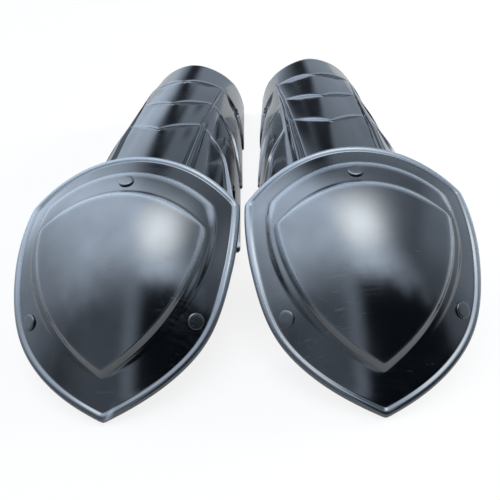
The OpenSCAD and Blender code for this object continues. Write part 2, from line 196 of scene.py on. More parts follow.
class Shader(Nodes):    # one material or world
    def __init__(self, name, world=False):
        self.owner = (bpy.data.worlds if world else bpy.data.materials).new(name)
        self.owner.use_nodes = True
        self.tree = self.owner.node_tree
        self.tree.nodes.clear()

    def mix(self, factor, a, b):
        return self.node("ShaderNodeMix", {0: factor, 6: (*a, 1), 7: (*b, 1)}, {"data_type": "RGBA"}, out=2)

    def ramp(self, value, start, end):    # black up to start, white from end
        made = self.node("ShaderNodeValToRGB", {0: value})
        stops = made.socket.node.color_ramp.elements
        stops[0].position, stops[1].position = start, end
        return made

    def fade(self, value, start, end):    # 0 before start, 1 after end
        return self.node("ShaderNodeMapRange", {"Value": value, "From Min": start, "From Max": end},
                         {"interpolation_type": "SMOOTHSTEP"})

    def noise(self, where, scale, detail=2.0, rough=0.5):
        return self.node("ShaderNodeTexNoise",
                         {"Vector": where, "Scale": scale, "Detail": detail, "Roughness": rough})

    def stretched(self, where, turn, scale):
        return self.node("ShaderNodeMapping", {"Vector": where, "Rotation": turn, "Scale": scale})

    def place(self, kind="Object"):
        return self.node("ShaderNodeTexCoord", out=kind)

    def finish(self, surface, kind="ShaderNodeOutputMaterial"):
        end = self.tree.nodes.new(kind)
        self.tree.links.new(surface.socket, end.inputs["Surface"])
        return self.owner

    def coated(self, colour, rough, strength, depth, height, more=None):    # the finished material with its relief
        bump = self.node("ShaderNodeBump", {"Strength": strength, "Distance": depth, "Height": height})
        sockets = {"Base Color": colour, "Roughness": rough, "Normal": bump, **(more or {})}
        return self.finish(self.node("ShaderNodeBsdfPrincipled", sockets))


class Growth(Nodes):    # a geometry node tree that puts one shape on every spot
    def __init__(self, name, sizes):
        self.tree = bpy.data.node_groups.new(name, "GeometryNodeTree")
        self.tree.interface.new_socket("Spots", in_out="INPUT", socket_type="NodeSocketGeometry")
        self.tree.interface.new_socket("Result", in_out="OUTPUT", socket_type="NodeSocketGeometry")
        for size, value in sizes.items():
            self.tree.interface.new_socket(size, in_out="INPUT", socket_type="NodeSocketFloat").default_value = value
        self.begin = self.tree.nodes.new("NodeGroupInput")

    def size(self, name):
        return Value(self, self.begin.outputs[name])

    def swell(self, shape, faces, rise, widen):    # pulls faces out and scales them
        raised = self.node("GeometryNodeExtrudeMesh", {"Mesh": shape, "Selection": faces, "Offset Scale": rise,
                                                       "Individual": False}, {"mode": "FACES"})
        top = raised.other("Top")
        sockets = {"Geometry": raised, "Selection": top, "Scale": widen}
        return self.node("GeometryNodeScaleElements", sockets, {"domain": "FACE"}), top

    def attribute(self, name):
        made = self.tree.nodes.new("GeometryNodeInputNamedAttribute")
        made.data_type = "FLOAT_VECTOR"
        made.inputs["Name"].default_value = name
        return Value(self, next(o for o in made.outputs if o.enabled))

    def finish(self, shape, material):
        turn = self.node("FunctionNodeAlignRotationToVector", {"Vector": self.attribute("up")}, {"axis": "Z"})
        turn = self.node("FunctionNodeAlignRotationToVector", {"Rotation": turn, "Vector": self.attribute("along")},
                         {"axis": "X", "pivot_axis": "Z"})
        spots = Value(self, self.begin.outputs["Spots"])
        grown = self.node("GeometryNodeInstanceOnPoints", {"Points": spots, "Instance": shape, "Rotation": turn})
        real = self.node("GeometryNodeRealizeInstances", {0: grown})
        coloured = self.node("GeometryNodeSetMaterial", {"Geometry": real, "Material": material})
        end = self.tree.nodes.new("NodeGroupOutput")
        self.tree.links.new(coloured.socket, end.inputs[0])
        return self.tree


stageLook = {"floor": (0.92, 0.90, 0.86), "shadowKept": 0.16, "ownLight": 0.33, "mirrored": 0.75, "half": 3}
# the sky by direction, x to the right and y away: open to the left, behind and along the horizon,
# dark in front, beside the glow and low behind. Pairs say where a change starts and ends.
skyLook = {
    "level": 2.5, "least": 0.004, "tint": (0.69, 0.82, 1.0),
    "glow": 3.4, "glowAt": (0.16, 0.19), "glowWidth": (0.22, 0.27), "glowTint": (0.86, 0.93, 1.0), "tinted": (0.1, 1.6),
    "right": (0.02, 0.59), "rightSlant": 0.7, "rightFall": 0.86, "left": (-0.5, -1.1), "leftFall": 0.8,
    "half": (-0.2, 0.12), "frontLeft": (0.08, -0.54), "frontLeftFall": 0.86, "frontRight": (-0.20, -0.42),
    "strip": 0.3, "stripAcross": (0.60, 0.75), "stripAlong": (-0.2, 0.1),
    "behind": (0.55, 0.88), "rear": 0.43, "rearMore": 0.5, "rearLeft": (-0.1, -0.4),
    "dip": 0.93, "dipRight": (0.05, -0.05), "dipLeft": (-0.32, -0.08)}
softbox = {"size": 0.6, "power": 34.0, "colour": (1.0, 0.98, 0.95), "place": (1.75, 0.55, 0.62), "aim": (0, 0, 0.05)}


def addFloor():
    k = stageLook
    s = Shader("floorPaper")
    matte = s.node("ShaderNodeBsdfDiffuse", {"Color": (*k["floor"], 1)})
    seen = s.node("ShaderNodeLightPath", out="Is Camera Ray")
    mirrored = seen.other("Is Glossy Ray") * k["mirrored"]
    level = seen * (1 - k["ownLight"]) + k["ownLight"]
    bright = s.node("ShaderNodeEmission", {"Color": (1, 1, 1, 1), "Strength": level})
    white = s.maths("MAXIMUM", seen * (1 - k["shadowKept"]), mirrored)
    mesh = bpy.data.meshes.new("floor")
    corners = [(x * k["half"], y * k["half"], 0) for x, y in ((-1, -1), (1, -1), (1, 1), (-1, 1))]
    mesh.from_pydata(corners, [], [(0, 1, 2, 3)])
    mesh.materials.append(s.finish(s.node("ShaderNodeMixShader", {0: white, 1: matte, 2: bright})))
    floor = added("floor", mesh)
    floor.location.z = -0.0002


def addSky():
    k = skyLook
    w = Shader("sky", world=True)
    way = w.place("Generated")
    x = w.node("ShaderNodeSeparateXYZ", {0: way})
    y, z = x.other("Y"), x.other("Z")
    ragged = (w.noise(way, 7.0, 4.0, 0.6) - 0.5) * 0.24
    level = 1 - w.fade(x + y * k["rightSlant"], *k["right"]) * k["rightFall"]
    level = level * (1 - w.fade(x, *k["left"]) * k["leftFall"])
    toRight = w.fade(x, *k["half"])
    level = level * (1 - w.fade(y + ragged, *k["frontLeft"]) * k["frontLeftFall"] * (1 - toRight))
    level = level * (1 - w.fade(y + ragged, *k["frontRight"]) * toRight)
    clouds = w.noise(way, 2.6, 3.0) * 0.5 + w.noise(way, 9.0, 3.0) * 0.4 + 0.55
    strip = w.fade(x, *k["stripAcross"]) * w.fade(y, *k["stripAlong"]) * k["strip"]
    level = level * clouds * k["level"] + strip
    behind = w.fade(y, *k["behind"])
    dip = w.fade(x, *k["dipRight"]) * w.fade(x, *k["dipLeft"]) * behind * k["dip"]
    rear = w.fade(x, *k["rearLeft"]) * k["rearMore"] + k["rear"]
    level = (level * (1 - behind) + behind * rear) * (1 - dip) + k["least"]
    glow = [((a - at) / width) ** 2 for a, at, width in zip((x, y), k["glowAt"], k["glowWidth"])]
    glow = w.maths("EXPONENT", (glow[0] + glow[1]) * -1.0) * (z > 0) * k["glow"]
    tint = w.mix(w.fade(glow, *k["tinted"]), k["tint"], k["glowTint"])
    seen = w.node("ShaderNodeLightPath", out="Is Camera Ray")
    far = w.node("ShaderNodeBackground", {"Color": tint, "Strength": level + glow})
    near = w.node("ShaderNodeBackground", {"Color": (1, 1, 1, 1), "Strength": 1.0})
    both = w.node("ShaderNodeMixShader", {0: seen, 1: far, 2: near})
    bpy.context.scene.world = w.finish(both, "ShaderNodeOutputWorld")


def addSoftbox():
    light = bpy.data.lights.new("softbox", "AREA")
    light.shape = "DISK"
    light.size = softbox["size"]
    light.energy = softbox["power"]
    light.color = softbox["colour"]
    lamp = added("softbox", light)
    lamp.location = softbox["place"]
    lamp.rotation_euler = (Vector(softbox["aim"]) - lamp.location).to_track_quat("-Z", "Y").to_euler()
    lamp.visible_glossy = False    # it lights the pale edges, part wear and part painted highlight, and no disc of it shows in the gloss


addCamera()
addFloor()
addSky()
addSoftbox()
bpy.context.scene.view_settings.view_transform = "Standard"
print("camera, floor and light set")

# the dust colour is also the colour of the painted highlights on pale edges; wear sets how strongly edges are painted
# pale, part wear and part painted highlight
plasticLook = {"black": (0.002, 0.003, 0.0045), "dustAndHighlight": (0.40, 0.45, 0.50), "film": 0.004, "rough": 0.12, "wearAndHighlight": 0.42,
               "specks": 1.0, "peel": 0.05}


def moulded(name, **changes):    # black gloss with a film of dust, specks, rubbed streaks and paler edges, part wear and part painted highlight
    look = {**plasticLook, **changes}
    s = Shader(name)
    where = s.place()
    clouds = s.noise(where, 16.0, 4.0, 0.6)
    patches = s.ramp(clouds, 0.40, 0.72)
    grain = s.noise(where, 900.0, 2.0)
    cell = s.node("ShaderNodeTexVoronoi", {"Vector": where, "Scale": 150.0})
    few = s.node("ShaderNodeSeparateColor", {0: cell.other("Color")}) > 0.968
    dots = (cell < 0.05) * few * look["specks"]
    fine = s.stretched(where, (0.2, 0.1, 0.5), (60.0, 900.0, 300.0))
    rubbed = s.stretched(where, (0.0, 0.0, 0.06), (40.0, 700.0, 120.0))
    scratches = s.ramp(s.noise(fine, 1.0, 1.0), 0.66, 0.70) * s.ramp(s.noise(where, 28.0, 1.0), 0.55, 0.65)
    streaks = s.ramp(s.noise(rubbed, 1.0, 2.0), 0.45, 0.75) * s.ramp(s.noise(where, 22.0, 2.0), 0.48, 0.62)
    # pale edges from the edge attribute: part wear, part painted highlight
    wornAndLit = s.node("ShaderNodeAttribute", None, {"attribute_name": "edge"}, out="Fac")
    hazeAndHighlight = (patches * 0.6 + 0.6) * look["film"] + dots * 0.7 + scratches * 0.03 + streaks * 0.02
    hazeAndHighlight = hazeAndHighlight + wornAndLit * look["wearAndHighlight"] * (grain * 0.8 + 0.6)
    rough = look["rough"] + patches * 0.10 + grain * 0.05 + scratches * 0.15 + streaks * 0.08
    height = clouds * 0.4 + grain * 0.35 + dots + streaks * 0.2
    return s.coated(s.mix(hazeAndHighlight, look["black"], look["dustAndHighlight"]), rough, look["peel"], 0.0004, height,
                    {"IOR": 1.6, "Specular IOR Level": 1.0, "Coat Weight": 1.0, "Coat Roughness": 0.07,
                     "Coat IOR": 1.6})


def shaded(colour, darker, lighter):
    return [tuple(c * part for c in colour) for part in (darker, lighter)]


def woven(name, colour, pitch=0.0011):    # flat webbing, ribbed along and across from its own UV map in metres
    s = Shader(name)
    along = s.node("ShaderNodeSeparateXYZ", {0: s.place("UV")})
    across = along.other("Y")
    rib = s.maths("SINE", along * (2 * math.pi / pitch))
    weft = s.maths("SINE", across * (2 * math.pi / (pitch * 1.3)) + rib * 1.2)
    strand = weft * 0.5 + 0.5
    fuzz = s.noise(s.place(), 500.0, 3.0)
    tone = s.mix(strand * 0.6 + fuzz * 0.5, *shaded(colour, 0.5, 1.6))
    return s.coated(tone, 0.62 + fuzz * 0.2, 0.6, 0.0003, strand + rib * 0.3 + fuzz * 0.3,
                    {"Sheen Weight": 0.25, "Specular IOR Level": 0.35})


def foamCloth(name, colour):
    s = Shader(name)
    knit = s.node("ShaderNodeTexVoronoi", {"Vector": s.place(), "Scale": 900.0}, out="Distance")
    soft = s.noise(s.place(), 60.0, 3.0)
    tone = s.mix(soft * 0.6 + knit * 0.5, *shaded(colour, 0.6, 1.5))
    return s.coated(tone, 0.8 + soft * 0.1, 0.5, 0.0003, knit + soft * 0.4,
                    {"Sheen Weight": 0.4, "Specular IOR Level": 0.3})


def clouded(name, scale, detail, dark, light, rough, strength, depth, more=None):    # one noise for tone and relief
    s = Shader(name)
    cloud = s.noise(s.place(), scale, *detail)
    return s.coated(s.mix(cloud, dark, light), rough[0] + cloud * rough[1], strength, depth, cloud, more)


shellPlastic = moulded("blackGlossPlastic")
rivetPlastic = moulded("blackRivet", rough=0.22, film=0.03, specks=0.3)
sliderPlastic = moulded("blackBuckle", rough=0.42, film=0.02, specks=0.2, peel=0.12)
thread = woven("greyThread", (0.10, 0.10, 0.105), pitch=0.0006)
webbing = woven("blackWebbing", (0.022, 0.022, 0.024))
foam = foamCloth("greyFoamCloth", (0.055, 0.057, 0.062))
steel = clouded("zincSteel", 260.0, (4.0, 0.6), (0.42, 0.43, 0.44), (0.66, 0.66, 0.65), (0.28, 0.2), 0.15, 0.0002,
                {"Metallic": 1.0})
nylon = clouded("paleNylon", 120.0, (3.0,), (0.50, 0.49, 0.45), (0.66, 0.65, 0.61), (0.45, 0.15), 0.1, 0.0003)
print("materials made")

dome = {"side": 132, "length": 192, "middle": 162, "axis": -42.5}
# shields by half width and place of the corners, top, radius of the sides and tip; the seat is a hollow at the pivot
kneePlate = {
    "rim": (77, 137, 166.5, 110, 0), "terrace": (59, 124, 143.3, 93, 15.2), "panel": (56.3, 101, 119.4, 95.5, 16.2),
    "flank": (77.5, 123, 240), "wall": 2.6, "terraceLift": 2.2, "panelLift": 4.6, "stepHalf": 1.7, "middle": (0, 75),
    "sectors": 264, "seat": (131.3, 10.6, -3.2), "scuff": {"left": (-4.3, 3.2)}}
# the rolled rim: distance in from the edge, and height above the flange
rimRoll = [(7.0, 0), (6.4, 0.05), (5.9, 0.35), (5.4, 0.85), (4.8, 1.35), (4.2, 1.72), (3.5, 1.95), (2.8, 2.0),
           (2.1, 1.88), (1.4, 1.55), (0.85, 1.1), (0.4, 0.5), (0.1, -0.1), (0, -0.8), (0.05, -1.5), (0.25, -2.1),
           (0.7, -2.5), (1.4, -2.6), (2.4, -2.6)]


def domeRadius(y, lift):
    return dome["side"] - dome["length"] + np.sqrt((dome["length"] + lift) ** 2 - (dome["middle"] - y) ** 2)


def domePoint(x, y, lift):
    return np.stack([x, y, dome["axis"] + np.sqrt(domeRadius(y, lift) ** 2 - x * x)], -1)


def domeNormal(x, y):
    along = np.arcsin((dome["middle"] - y) / dome["length"])
    across = np.arcsin(x / domeRadius(y, 0))
    return np.stack([np.cos(along) * np.sin(across), -np.sin(along), np.cos(along) * np.cos(across)], -1)


def arcCentre(p, q, r):
    p, q = np.array(p, float), np.array(q, float)
    d = q - p
    span = math.hypot(*d)
    return (p + q) / 2 + np.array([-d[1], d[0]]) / span * math.sqrt(r * r - span * span / 4)


def shieldDiscs(shape, flank=None):
    cornerX, cornerY, apexY, sideR, tipY = shape
    cx, cy = arcCentre((0, tipY), (cornerX, cornerY), sideR)
    top = (cornerX ** 2 + (apexY - cornerY) ** 2) / (2 * (apexY - cornerY))
    discs = [(cx, cy, sideR), (-cx, cy, sideR), (0, apexY - top, top)]
    if flank:
        discs += [(flank[0] - flank[2], flank[1], flank[2]), (flank[2] - flank[0], flank[1], flank[2])]
    return discs


def softLeast(ways, soft):
    least = ways.min(0)
    return least - soft * np.log(np.exp(-(ways - least) / soft).sum(0))


def toCircle(eye, ux, uy, cx, cy, r):    # how far off a circle's far side is, from the eye along each direction
    dx, dy = eye[0] - cx, eye[1] - cy
    b = dx * ux + dy * uy
    return -b + np.sqrt(b * b - dx ** 2 - dy ** 2 + r ** 2)


def reach(discs, ux, uy, inset, soft):    # how far the outline is from the plate's middle, along each direction
    ways = np.array([toCircle(kneePlate["middle"], ux, uy, cx, cy, r - inset) for cx, cy, r in discs])
    if len(ways) > 3:    # the rim's sides run smoothly into its flanks below the corners
        smooth = 0.3 + 1.9 * smoothStep((0.35 - uy) / 0.3)
        ways = np.array([softLeast(ways[[0, 3]], smooth), softLeast(ways[[1, 4]], smooth), ways[2]])
    return softLeast(ways, soft)


def beyond(discs, x, y, soft=0.5):    # distance outside the outline, negative inside
    far = np.array([np.hypot(x - cx, y - cy) - r for cx, cy, r in discs])
    most = far.max(0)
    return most + soft * np.log(np.exp((far - most) / soft).sum(0))


def kneePlateAngles(rim):
    ox, oy = kneePlate["middle"]
    dense = np.linspace(-math.pi / 2, 1.5 * math.pi, 4001)
    t = reach(rim, np.cos(dense), np.sin(dense), 0, 0.2)
    x, y = t * np.cos(dense), t * np.sin(dense)
    run = distances(np.stack([x, y], 1))
    picked = np.interp(np.linspace(0, run[-1], kneePlate["sectors"] + 1)[:-1], run, dense)
    corners = [(kneePlate[k][0] * m, kneePlate[k][1]) for k in ("rim", "terrace", "panel") for m in (-1, 1)]
    for px, py in corners + [(0, 200), (0, 0)]:
        a = math.atan2(py - oy, px - ox)
        a = a + 2 * math.pi if a < -math.pi / 2 - 1e-6 else a
        picked[np.argmin(np.abs(picked - a))] = a
    return np.sort(picked)


def panelHeight(y):    # the panel lies lower toward the tip
    return kneePlate["panelLift"] * (0.65 + 0.35 * smoothStep((y - 20) / 70))


def kneePlateMesh(name, side):
    k = kneePlate
    rim, terrace, panel = shieldDiscs(k["rim"], k["flank"]), shieldDiscs(k["terrace"]), shieldDiscs(k["panel"])
    angle = kneePlateAngles(rim)
    ux, uy = np.cos(angle), np.sin(angle)
    ox, oy = k["middle"]
    # the steps are tight toward the tip and broad at the top; their pale edges, part wear and part painted highlight,
    # are faint toward the tip and painted brighter at the top
    half = k["stepHalf"] * (0.55 + 0.45 * smoothStep((uy + 0.75) / 0.9) + 0.9 * smoothStep((uy - 0.35) / 0.35))
    wearAndLightWeight = 0.15 + 0.85 * smoothStep((uy + 0.8) / 1.1) + 0.5 * smoothStep((uy - 0.3) / 0.4)

    def spot(t):
        return ox + t * ux, oy + t * uy

    def lift(x, y, inset):
        step = k["terraceLift"] * (0.15 + 0.85 * smoothStep((y - 30) / 55))    # the terrace fades out toward the tip
        high = step * shoulder(0.5 - (beyond(terrace, x, y) + inset) / (2 * half))
        return high + (panelHeight(y) - step) * shoulder(0.5 - (beyond(panel, x, y) + inset) / (2 * half))

    def facePlan(inset, last):    # ring distances over the plate's faces, from the middle out to the flange
        across = np.array([1.3, 1.0, 0.86, 0.72, 0.6, 0.3, 0, -0.3, -0.6, -0.72, -0.86, -1.0, -1.3])
        steps = across[:, None] * half + inset
        inner = reach(panel, ux, uy, steps[0] + 0.5, 0.8)
        rings = [inner * f for f in (0.03, 0.1, 0.2, 0.3, 0.4, 0.5, 0.6, 0.7, 0.8, 0.88, 0.95, 1)]
        onPanel = [reach(panel, ux, uy, s, 0.8) for s in steps]
        onTerrace = [reach(terrace, ux, uy, s, 0.6) for s in steps]
        rings += onPanel + onTerrace
        for a, b in ((onPanel[-1], onTerrace[0]), (onTerrace[-1], last)):
            rings += [a + (b - a) * f for f in (0.2, 0.4, 0.6, 0.8)]
        return np.sort(np.array(rings), 0)

    n = domeNormal(*spot(reach(rim, ux, uy, 0, 0.25)))
    lean = n[:, 2] / np.sqrt(n[:, 2] ** 2 + (n[:, 0] * ux + n[:, 1] * uy) ** 2)

    def rimReach(inset):
        return reach(rim, ux, uy, inset * lean, 0.25)

    def scuffed(x, y):    # a pale rub on the rim near the tip
        guard = name.split("K")[0]
        if guard not in k["scuff"]:
            return 0.0
        sx, sy = k["scuff"][guard]
        return 2.2 * np.exp(-((x - sx) / 2.2) ** 2 - ((y - sy - 0.6 * (sx - x)) / 1.1) ** 2)

    # a pale band high on a step's bevel, part wear and part painted highlight
    def wornAndLitAlong(outline, x, y):
        return np.exp(-((beyond(outline, x, y) + 0.6 * half) / (0.85 * half)) ** 4)

    rings, edge = [], []
    for t in facePlan(0, rimReach(rimRoll[0][0] + 0.3)):
        x, y = spot(t)
        rings.append(domePoint(x, y, lift(x, y, 0)))
        # the step edges are painted pale: part wear, part painted highlight
        wornAndLit = np.maximum(wornAndLitAlong(panel, x, y), smoothStep((y - 100) / 14) * wornAndLitAlong(terrace, x, y))
        edge.append(wornAndLit * wearAndLightWeight)
    for inset, height in rimRoll:
        x, y = spot(rimReach(inset))
        rings.append(domePoint(x, y, 0) + domeNormal(x, y) * height)
        # the rim's crest is painted pale, part wear and part painted highlight; the scuff near the tip is real wear
        edge.append(wearAndLightWeight * (math.exp(-((inset - 3.4) / 2.4) ** 4) if height > 0 else 0.0) + scuffed(x, y))
    seatY, seatR, seatDepth = k["seat"]
    pivot, up = domePoint(0.0, seatY, k["terraceLift"]), domeNormal(0.0, seatY)
    for t in facePlan(k["wall"], rimReach(rimRoll[-1][0] + 0.6))[::-1]:
        x, y = spot(t)
        p = domePoint(x, y, lift(x, y, k["wall"]) - k["wall"])
        seatZ = pivot[2] + (seatDepth - up[1] * (y - pivot[1])) / up[2]
        near = 1 - smoothStep((np.hypot(x, y - seatY) - seatR) / 1.2)
        p[:, 2] += (seatZ - p[:, 2]) * near
        rings.append(p)
        edge.append(0 * x)
    middles = [domePoint(ox, oy, panelHeight(oy) - inset)[None] for inset in (0, k["wall"])]
    return ringMesh(name, rings, middles, side, edge=np.concatenate(edge + [np.zeros(2)]))


for guard, side in guards.items():
    plate = kneePlateMesh(guard + "KneePlate", side)
    dressed(plate, guard + "_knee", "shell", shellPlastic, guard + "_knee_cop")
print("knee plates made")

# the section at the datum, how far it steps, tapers and lifts, and the ankle eyelet by place, height and width
shell = {
    "front": 140, "side": 77, "corner": (35.5, 69.8), "keel": 81.6, "halfWidth": 64.6, "wall": 2.8, "eye": (0, 12),
    "step": 2.2, "tuck": 2.2, "taper": 0.034, "datum": 230, "start": 119, "end": 472, "foot": 36, "edgeLift": 15,
    "keelSoft": 1.4, "keelMore": 2.8, "ribSoft": 1.0, "eyelet": (466.5, 5.5, 4)}
# plate edges: place on the keel and at the ribs, length of the step, and the side line as heights and places
plateLines = [
    {"keel": 237, "rib": 267, "run": 4, "heights": (0, 10, 22, 33, 36, 40, 46, 51, 61, 72),
     "places": (140, 150, 171, 195, 204, 217, 238, 244, 252, 267)},
    {"keel": 303, "rib": 328, "run": 3.6, "heights": (0, 15, 28.5, 31, 38, 46, 54, 61, 70),
     "places": (250, 268, 288, 294, 305, 312, 318, 323, 328)},
    {"keel": 374, "rib": 390, "run": 3.2, "heights": (0, 20, 33, 43, 55, 66), "places": (350, 364, 376, 383, 388, 390)}]
ribLine = ((119, 33.2), (150, 33.5), (267, 34.5), (328, 36.5), (390, 40), (448, 48), (475, 52))
frontCentre = arcCentre(shell["corner"], (0, shell["keel"]), shell["front"])
sideCentre = arcCentre((shell["halfWidth"], 0), shell["corner"], shell["side"])


def shellPoint(y, phi, d):    # point of the cross-section at y in the direction phi, with the section moved out by d
    ex, ez = shell["eye"]
    ux, uz = np.cos(phi), np.sin(phi)

    def bothSides(centre, r):
        return np.array([toCircle(shell["eye"], ux, uz, m * centre[0], centre[1], r + d) for m in (-1, 1)])

    more = shell["keelMore"] * smoothStep((y - 150) / 50)    # the keel is softer below the pivot
    keelSoft = shell["keelSoft"] + more
    left, right = faces = bothSides(frontCentre, shell["front"])
    front = softLeast(faces, keelSoft) + 0.4 * more * (1 - smoothStep(np.abs(left - right) / (4 * keelSoft)))
    soft = shell["ribSoft"] + 4 * smoothStep((y - 330) / 110)
    sides = bothSides(sideCentre, shell["side"]).min(0)
    t = softLeast(np.array([front, sides]), soft) + 0.35 * soft * (1 - smoothStep(np.abs(front - sides) / (4 * soft)))
    return np.stack([ex + t * ux, y + 0 * t, ez + t * uz], -1)


def taperAt(y):
    return (shell["datum"] - y) * shell["taper"]


def lowerEdge(y):
    last = shell["end"] - shell["foot"]
    return np.clip(shell["edgeLift"] * (last - y) / (last - shell["start"]), 0, None)


# directions of the lower edge and of the rib at each place along the shell
yTable = np.linspace(100, 480, 191)
phiLow, phiRib = [], []
for yy in yTable:
    phis = np.linspace(-0.35, math.pi / 2, 700)
    section = shellPoint(np.full(700, yy), phis, taperAt(yy) + 1.0)
    phiLow.append(np.interp(float(lowerEdge(yy)), section[:, 2], phis))
    upper = section[:, 2] > 12
    phiRib.append(np.interp(-np.interp(yy, *zip(*ribLine)), -section[upper, 0], phis[upper]))

# where the columns stand: 0 at the lower edge, 1 on the rib, 2 on the keel
spans = ((0, 0.05, 5), (0.05, 0.84, 34), (0.84, 1.2, 30), (1.2, 1.9, 20), (1.9, 2, 6))
stations = np.unique(np.round(np.concatenate([np.linspace(*span) for span in spans]), 6))


def edgeAngles(y):    # directions of the lower edge and of the rib
    return np.interp(y, yTable, phiLow), np.interp(y, yTable, phiRib)


def direction(y, w):
    low, rib = edgeAngles(y)
    return np.where(w < 1, low + (rib - low) * w, rib + (math.pi / 2 - rib) * (w - 1))


def linePlaces(line):
    w, rib = stations, float(line["rib"])
    section = shellPoint(np.full(len(w), rib), direction(rib - 20, w), taperAt(rib))
    side = np.interp(section[:, 2], line["heights"], line["places"])
    q = 2 - w
    front = line["keel"] + (rib - line["keel"]) * q + 2.0 * np.sin(math.pi * np.clip(q, 0, 1))
    places = np.where(w < 1, np.minimum(side, rib), front)
    smooth = np.convolve(np.pad(places, 2, mode="edge"), np.array([1, 2, 3, 2, 1]) / 9, "valid")
    return np.where((w > 0.9) & (w < 1.1), places, smooth)


def firstPlate(y):    # 0 at the knee end, 1 from the first plate edge on
    return np.clip((y - shell["start"]) / (plateLines[0]["keel"] - shell["start"]), 0, 1)


def innerOffset(y):
    return taperAt(y) - shell["tuck"] * (1 - firstPlate(y)) - shell["wall"]


def plateOffset(i, y, w):    # fully stepped in the middle of each face, flush along the keel and the ribs
    begin = shell["start"] if i == 0 else plateLines[i - 1]["keel"]
    end = plateLines[i]["keel"] if i < len(plateLines) else shell["end"]
    t = (y - begin) / (end - begin)
    stepped = -shell["tuck"] * (1 - t) if i == 0 else shell["step"] * (1 - t)
    s = firstPlate(y)
    flush = shell["tuck"] * (s + s ** 3 - 1) - 1.6 * smoothStep((y - 385) / 60)
    q = np.clip(2 - w, 0, 1)
    front = (0.6 + 0.4 * smoothStep(q / 0.35)) * (1 - smoothStep((q - 0.55) / 0.45))
    return flush + (stepped - flush) * np.where(w < 1, smoothStep((1 - w) / 0.3), front)


def ribProfile(y, w):
    low, rib = edgeAngles(y)
    away = np.where(w < 1, (1 - w) * (rib - low), (w - 1) * (math.pi / 2 - rib)) * 68
    half = np.interp(y, (119, 170, 235, 267, 328, 390), (3.0, 2.8, 2.3, 1.9, 1.3, 0.8))
    strong = np.interp(y, (119, 255, 328, 390, 450), (1, 1, 0.8, 0.4, 0.0))
    bead = np.where(away < half, 0.6 * half * np.sqrt(np.clip(1 - (away / half) ** 2, 0, 1)), 0)
    groove = -0.7 * half * np.exp(-((away - 1.3 * half) / (0.46 * half)) ** 2)
    crease = 0.45 * np.exp(-away / 1.6) * (1 - strong)
    return (bead + groove) * strong + crease


def endPlace(z):    # the ankle end, seen from the side: a slanting cut above and a round tab at the foot
    tabY, tabR, _ = shell["eyelet"]
    cut = np.interp(z, (0, 11, 48, 101.6), (464, 461, 448, 440))
    tab = tabY + np.sqrt(np.clip(tabR ** 2 - (z - tabR) ** 2, 0, None))
    return np.where(z < 2 * tabR, tab, cut + tabR * (1 - smoothStep((z - 2 * tabR) / 4)))


def shellGrid():    # the outer face, the inner face and the pale plate edges, part wear and part painted highlight, by rows and columns
    w = stations
    atEnd = shellPoint(np.full(len(w), 455.0), direction(455.0, w), taperAt(455))
    atStart = shellPoint(np.full(len(w), 125.0), direction(125.0, w), taperAt(125) - 2)
    a = np.interp(atStart[:, 2], (14.2, 52, 60), (135, 119, 119))
    edges = [linePlaces(line) for line in plateLines]
    q = np.clip(2 - w, 0, 1)
    rows = []    # one (places, plate offsets, pale edge as wear and painted highlight) for each row
    for i in range(len(edges) + 1):
        b = endPlace(atEnd[:, 2])
        if i < len(edges):
            run = np.where(w < 1, 0.8 * smoothStep((1 - w) / 0.5), plateLines[i]["run"] * np.sin(math.pi * q))
            b = edges[i] - (1.0 + run)
        b = np.maximum(b, a + 2)
        for f in np.linspace(0, 1, 15)[1:] if i else np.linspace(0, 1, 16):
            y = a + (b - a) * f
            rows.append((y, plateOffset(i, y, w), 0 * y))
        if i < len(edges):    # down the step to the next plate
            a = np.maximum(edges[i], b + 0.6)
            for t, h in ((0.06, 0.01), (0.25, 0.17), (0.5, 0.45), (0.72, 0.73), (0.86, 0.9), (0.94, 0.975), (1.0, 1.0)):
                y = b + (a - b) * t
                offset = plateOffset(i, b, w) * (1 - h) + plateOffset(i + 1, a, w) * h
                # the lower rows of each step are painted pale: part wear, part painted highlight
                rows.append((y, offset, 0 * y + (t > 0.8)))
    outer = [shellPoint(y, direction(y, w), taperAt(y) + o + ribProfile(y, w)) for y, o, e in rows]
    inner = [shellPoint(y, direction(y, w), innerOffset(y)) for y, o, e in rows]

    def bothHalves(grid):
        grid = np.array(grid)
        flipped = grid[:, -2::-1] * (np.array([-1, 1, 1]) if grid.ndim == 3 else 1)
        return np.concatenate([grid, flipped], 1)

    return bothHalves(outer), bothHalves(inner), bothHalves([e for y, o, e in rows])


